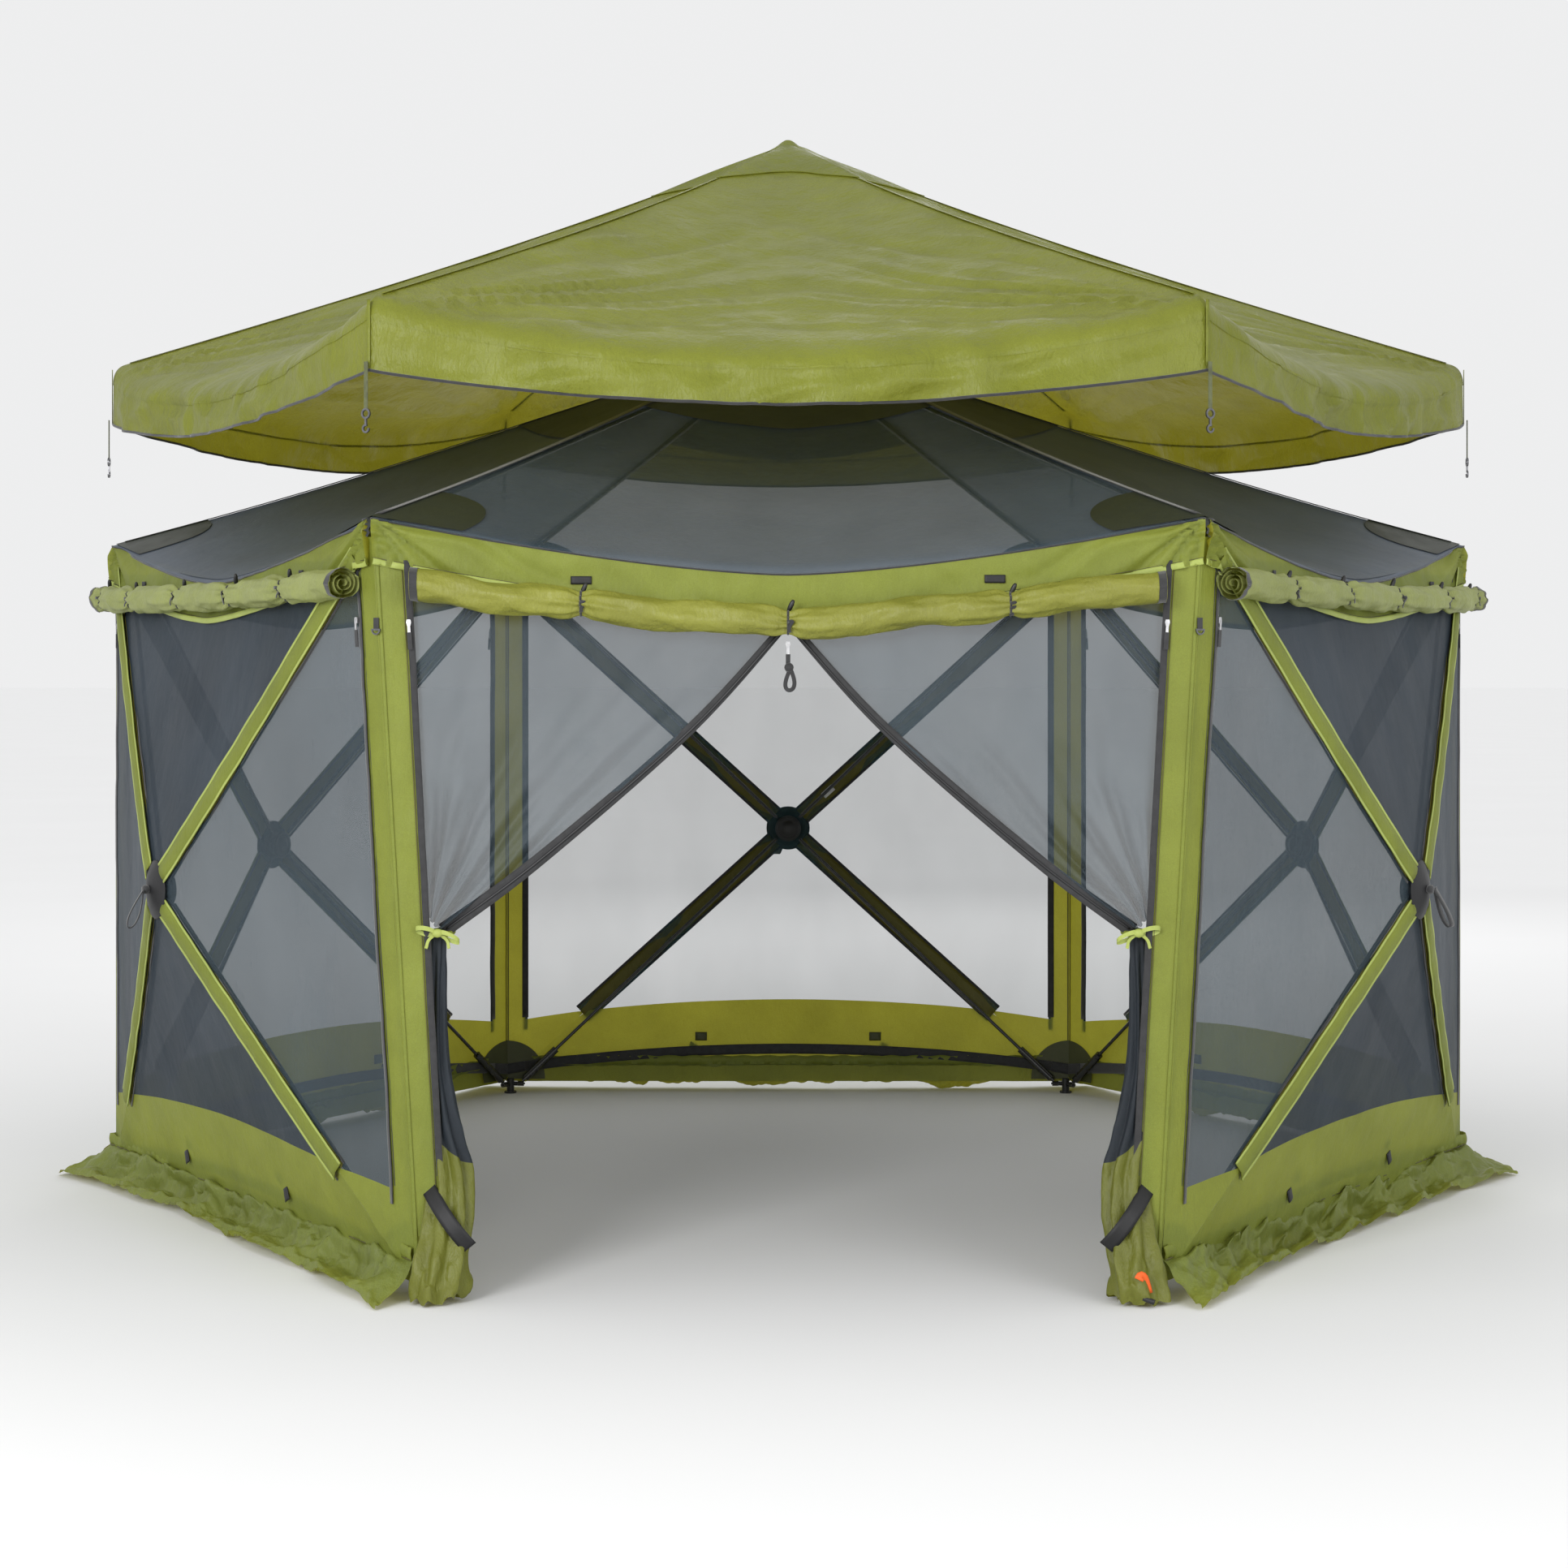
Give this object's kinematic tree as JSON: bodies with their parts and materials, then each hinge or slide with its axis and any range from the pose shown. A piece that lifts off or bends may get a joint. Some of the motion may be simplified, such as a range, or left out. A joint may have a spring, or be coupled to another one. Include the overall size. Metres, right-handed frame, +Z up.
{
  "type": "screen house",
  "caption": "Six-sided pop-up screen house with pop-out hub walls, tied-back netting door, rolled wind panels and a lifted rain fly.",
  "frame": {"origin": "on the ground, at the centre of the bounds in X and Y", "axes": "+Z up, the doorway faces -Y, +X runs corner to corner"},
  "size_m": [3.9944, 3.5322, 2.82],
  "materials": {
    "green_cloth": "matte woven polyester",
    "rolled_panel_cloth": "matte woven polyester, yellower",
    "dark_netting": "no-see-um netting",
    "pole": "glossy black fibreglass",
    "black_plastic": "satin moulded plastic",
    "zip_metal": "satin metal",
    "ring_metal": "dark satin metal",
    "strap_webbing": "ribbed elastic webbing"
  },
  "bodies": {
    "frame": {"roof_hub": "black_plastic", "roof_poles": "pole", "corner_brackets": "black_plastic", "foot_brackets": "black_plastic", "roof_canopy": "dark_netting", "eave_and_post_strips": "green_cloth", "door_curtains": "dark_netting", "ground_skirts": "green_cloth", "wind_rolls": "rolled_panel_cloth", "d_rings": "ring_metal"},
    "fly": {"fly_canopy": "green_cloth", "fly_valance": "green_cloth"},
    "back_hub": {"back_hub": "black_plastic"},
    "back_upper": {"back_upper_poles": "pole", "back_net_top": "dark_netting"},
    "back_lower": {"back_lower_poles": "pole", "back_net_bottom": "dark_netting"},
    "back_left_panel": {"back_net_left": "dark_netting"},
    "back_right_panel": {"back_net_right": "dark_netting"},
    "rear_left_hub": {"rear_left_hub": "black_plastic"},
    "rear_left_upper": {"rear_left_upper_poles": "pole", "rear_left_net_top": "dark_netting"},
    "rear_left_lower": {"rear_left_lower_poles": "pole", "rear_left_net_bottom": "dark_netting"},
    "rear_left_left_panel": {"rear_left_net_left": "dark_netting"},
    "rear_left_right_panel": {"rear_left_net_right": "dark_netting"},
    "left_hub": {"left_hub": "black_plastic"},
    "left_upper": {"left_upper_poles": "pole", "left_net_top": "dark_netting"},
    "left_lower": {"left_lower_poles": "pole", "left_net_bottom": "dark_netting"},
    "left_left_panel": {"left_net_left": "dark_netting"},
    "left_right_panel": {"left_net_right": "dark_netting"},
    "right_hub": {"right_hub": "black_plastic"},
    "right_upper": {"right_upper_poles": "pole", "right_net_top": "dark_netting"},
    "right_lower": {"right_lower_poles": "pole", "right_net_bottom": "dark_netting"},
    "right_left_panel": {"right_net_left": "dark_netting"},
    "right_right_panel": {"right_net_right": "dark_netting"},
    "rear_right_hub": {"rear_right_hub": "black_plastic"},
    "rear_right_upper": {"rear_right_upper_poles": "pole", "rear_right_net_top": "dark_netting"},
    "rear_right_lower": {"rear_right_lower_poles": "pole", "rear_right_net_bottom": "dark_netting"},
    "rear_right_left_panel": {"rear_right_net_left": "dark_netting"},
    "rear_right_right_panel": {"rear_right_net_right": "dark_netting"},
    "fly_hook_right": {"fly_hook_right": "strap_webbing"},
    "fly_hook_rear_right": {"fly_hook_rear_right": "strap_webbing"},
    "fly_hook_rear_left": {"fly_hook_rear_left": "strap_webbing"},
    "fly_hook_left": {"fly_hook_left": "strap_webbing"},
    "fly_hook_front_left": {"fly_hook_front_left": "strap_webbing"},
    "fly_hook_front_right": {"fly_hook_front_right": "strap_webbing"},
    "slider_door": {"slider_door": "zip_metal"},
    "slider_door_left": {"slider_door_left": "zip_metal"},
    "slider_door_right": {"slider_door_right": "zip_metal"},
    "slider_left_wall_left": {"slider_left_wall_left": "zip_metal"},
    "slider_left_wall_right": {"slider_left_wall_right": "zip_metal"},
    "slider_right_wall_left": {"slider_right_wall_left": "zip_metal"},
    "slider_right_wall_right": {"slider_right_wall_right": "zip_metal"}
  },
  "joints": [
    {"name": "back_hub_push", "type": "slide", "parent": "frame", "child": "back_hub", "axis": [0, -1, 0], "range_m": [0, 0.44]},
    {"name": "back_upper_fold", "type": "hinge", "parent": "frame", "child": "back_upper", "pos_m": [0.89999, 1.51813, 1.69], "axis": [-1, 0, 0], "range_deg": [0, 29.24]},
    {"name": "back_lower_fold", "type": "hinge", "parent": "frame", "child": "back_lower", "pos_m": [0.89999, 1.51813, 0.03], "axis": [1, 0, 0], "range_deg": [0, 30.26]},
    {"name": "back_left_panel_fold", "type": "hinge", "parent": "frame", "child": "back_left_panel", "pos_m": [0.89999, 1.51813, 0.03], "axis": [0, 0, 1], "range_deg": [0, 27.52]},
    {"name": "back_right_panel_fold", "type": "hinge", "parent": "frame", "child": "back_right_panel", "pos_m": [-0.89999, 1.51813, 0.03], "axis": [0, 0, -1], "range_deg": [0, 27.52]},
    {"name": "rear_left_hub_push", "type": "slide", "parent": "frame", "child": "rear_left_hub", "axis": [0.866, -0.5, 0], "range_m": [0, 0.44]},
    {"name": "rear_left_upper_fold", "type": "hinge", "parent": "frame", "child": "rear_left_upper", "pos_m": [-0.89999, 1.51813, 1.69], "axis": [-0.5, -0.866, 0], "range_deg": [0, 29.24]},
    {"name": "rear_left_lower_fold", "type": "hinge", "parent": "frame", "child": "rear_left_lower", "pos_m": [-0.89999, 1.51813, 0.03], "axis": [0.5, 0.866, 0], "range_deg": [0, 30.26]},
    {"name": "rear_left_left_panel_fold", "type": "hinge", "parent": "frame", "child": "rear_left_left_panel", "pos_m": [-0.89999, 1.51813, 0.03], "axis": [0, 0, 1], "range_deg": [0, 27.52]},
    {"name": "rear_left_right_panel_fold", "type": "hinge", "parent": "frame", "child": "rear_left_right_panel", "pos_m": [-1.79998, -0.0407, 0.03], "axis": [0, 0, -1], "range_deg": [0, 27.52]},
    {"name": "left_hub_push", "type": "slide", "parent": "frame", "child": "left_hub", "axis": [0.8539, 0.5204, 0], "range_m": [0, 0.44]},
    {"name": "left_upper_fold", "type": "hinge", "parent": "frame", "child": "left_upper", "pos_m": [-1.79998, -0.0407, 1.69], "axis": [0.5, -0.866, 0], "range_deg": [0, 29.21]},
    {"name": "left_lower_fold", "type": "hinge", "parent": "frame", "child": "left_lower", "pos_m": [-1.79998, -0.0407, 0.03], "axis": [-0.54, 0.8417, 0], "range_deg": [0, 30.24]},
    {"name": "left_left_panel_fold", "type": "hinge", "parent": "frame", "child": "left_left_panel", "pos_m": [-1.79998, -0.0407, 0.03], "axis": [0, 0, 1], "range_deg": [0, 27.15]},
    {"name": "left_right_panel_fold", "type": "hinge", "parent": "frame", "child": "left_right_panel", "pos_m": [-0.79999, -1.59953, 0.03], "axis": [0.0601, 0, -0.9982], "range_deg": [0, 27.12]},
    {"name": "right_hub_push", "type": "slide", "parent": "frame", "child": "right_hub", "axis": [-0.8539, 0.5204, 0], "range_m": [0, 0.44]},
    {"name": "right_upper_fold", "type": "hinge", "parent": "frame", "child": "right_upper", "pos_m": [0.89999, -1.59953, 1.69], "axis": [0.5, 0.866, 0], "range_deg": [0, 29.21]},
    {"name": "right_lower_fold", "type": "hinge", "parent": "frame", "child": "right_lower", "pos_m": [0.79999, -1.59953, 0.03], "axis": [-0.54, -0.8417, 0], "range_deg": [0, 30.24]},
    {"name": "right_left_panel_fold", "type": "hinge", "parent": "frame", "child": "right_left_panel", "pos_m": [0.79999, -1.59953, 0.03], "axis": [0.0601, 0, 0.9982], "range_deg": [0, 27.12]},
    {"name": "right_right_panel_fold", "type": "hinge", "parent": "frame", "child": "right_right_panel", "pos_m": [1.79998, -0.0407, 0.03], "axis": [0, 0, -1], "range_deg": [0, 27.15]},
    {"name": "rear_right_hub_push", "type": "slide", "parent": "frame", "child": "rear_right_hub", "axis": [-0.866, -0.5, 0], "range_m": [0, 0.44]},
    {"name": "rear_right_upper_fold", "type": "hinge", "parent": "frame", "child": "rear_right_upper", "pos_m": [1.79998, -0.0407, 1.69], "axis": [-0.5, 0.866, 0], "range_deg": [0, 29.24]},
    {"name": "rear_right_lower_fold", "type": "hinge", "parent": "frame", "child": "rear_right_lower", "pos_m": [1.79998, -0.0407, 0.03], "axis": [0.5, -0.866, 0], "range_deg": [0, 30.26]},
    {"name": "rear_right_left_panel_fold", "type": "hinge", "parent": "frame", "child": "rear_right_left_panel", "pos_m": [1.79998, -0.0407, 0.03], "axis": [0, 0, 1], "range_deg": [0, 27.52]},
    {"name": "rear_right_right_panel_fold", "type": "hinge", "parent": "frame", "child": "rear_right_right_panel", "pos_m": [0.89999, 1.51813, 0.03], "axis": [0, 0, -1], "range_deg": [0, 27.52]},
    {"name": "fly_lift", "type": "slide", "parent": "frame", "child": "fly", "axis": [0, 0, 1], "range_m": [-0.46, 0], "deforming": ["fly_valance"]},
    {"name": "fly_hook_right_swing", "type": "hinge", "parent": "fly", "child": "fly_hook_right", "pos_m": [1.848, -0.0407, 2.055], "axis": [0, -1, 0], "range_deg": [0, 75]},
    {"name": "fly_hook_rear_right_swing", "type": "hinge", "parent": "fly", "child": "fly_hook_rear_right", "pos_m": [0.924, 1.55971, 2.055], "axis": [0.866, -0.5, 0], "range_deg": [0, 75]},
    {"name": "fly_hook_rear_left_swing", "type": "hinge", "parent": "fly", "child": "fly_hook_rear_left", "pos_m": [-0.924, 1.55971, 2.055], "axis": [0.866, 0.5, 0], "range_deg": [0, 75]},
    {"name": "fly_hook_left_swing", "type": "hinge", "parent": "fly", "child": "fly_hook_left", "pos_m": [-1.848, -0.0407, 2.055], "axis": [0, 1, 0], "range_deg": [0, 75]},
    {"name": "fly_hook_front_left_swing", "type": "hinge", "parent": "fly", "child": "fly_hook_front_left", "pos_m": [-0.924, -1.64112, 2.055], "axis": [-0.866, 0.5, 0], "range_deg": [0, 75]},
    {"name": "fly_hook_front_right_swing", "type": "hinge", "parent": "fly", "child": "fly_hook_front_right", "pos_m": [0.924, -1.64112, 2.055], "axis": [-0.866, -0.5, 0], "range_deg": [0, 75]},
    {"name": "slider_door_pull", "type": "slide", "parent": "frame", "child": "slider_door", "axis": [0, 0, -1], "range_m": [0, 1.3]},
    {"name": "slider_door_left_pull", "type": "slide", "parent": "frame", "child": "slider_door_left", "axis": [0.0613, 0, -0.9981], "range_m": [0, 1.2]},
    {"name": "slider_door_right_pull", "type": "slide", "parent": "frame", "child": "slider_door_right", "axis": [-0.0613, 0, -0.9981], "range_m": [0, 1.2]},
    {"name": "slider_left_wall_left_pull", "type": "slide", "parent": "left_left_panel", "child": "slider_left_wall_left", "axis": [0, 0, -1], "range_m": [0, 1.2]},
    {"name": "slider_left_wall_right_pull", "type": "slide", "parent": "left_right_panel", "child": "slider_left_wall_right", "axis": [0.0601, 0, -0.9982], "range_m": [0, 1.2]},
    {"name": "slider_right_wall_left_pull", "type": "slide", "parent": "right_left_panel", "child": "slider_right_wall_left", "axis": [-0.0601, 0, -0.9982], "range_m": [0, 1.2]},
    {"name": "slider_right_wall_right_pull", "type": "slide", "parent": "right_right_panel", "child": "slider_right_wall_right", "axis": [0, 0, -1], "range_m": [0, 1.2]}
  ],
  "couplings": [
    {"joint": "back_upper_fold", "follows": "back_hub_push", "rad_per_m": 1.1577},
    {"joint": "back_lower_fold", "follows": "back_hub_push", "rad_per_m": 1.1984},
    {"joint": "back_left_panel_fold", "follows": "back_hub_push", "rad_per_m": 1.0898},
    {"joint": "back_right_panel_fold", "follows": "back_hub_push", "rad_per_m": 1.0898},
    {"joint": "rear_left_upper_fold", "follows": "rear_left_hub_push", "rad_per_m": 1.1577},
    {"joint": "rear_left_lower_fold", "follows": "rear_left_hub_push", "rad_per_m": 1.1984},
    {"joint": "rear_left_left_panel_fold", "follows": "rear_left_hub_push", "rad_per_m": 1.0898},
    {"joint": "rear_left_right_panel_fold", "follows": "rear_left_hub_push", "rad_per_m": 1.0898},
    {"joint": "left_upper_fold", "follows": "left_hub_push", "rad_per_m": 1.1567},
    {"joint": "left_lower_fold", "follows": "left_hub_push", "rad_per_m": 1.1974},
    {"joint": "left_left_panel_fold", "follows": "left_hub_push", "rad_per_m": 1.0751},
    {"joint": "left_right_panel_fold", "follows": "left_hub_push", "rad_per_m": 1.0737},
    {"joint": "right_upper_fold", "follows": "right_hub_push", "rad_per_m": 1.1567},
    {"joint": "right_lower_fold", "follows": "right_hub_push", "rad_per_m": 1.1974},
    {"joint": "right_left_panel_fold", "follows": "right_hub_push", "rad_per_m": 1.0737},
    {"joint": "right_right_panel_fold", "follows": "right_hub_push", "rad_per_m": 1.0751},
    {"joint": "rear_right_upper_fold", "follows": "rear_right_hub_push", "rad_per_m": 1.1577},
    {"joint": "rear_right_lower_fold", "follows": "rear_right_hub_push", "rad_per_m": 1.1984},
    {"joint": "rear_right_left_panel_fold", "follows": "rear_right_hub_push", "rad_per_m": 1.0898},
    {"joint": "rear_right_right_panel_fold", "follows": "rear_right_hub_push", "rad_per_m": 1.0898}
  ]
}
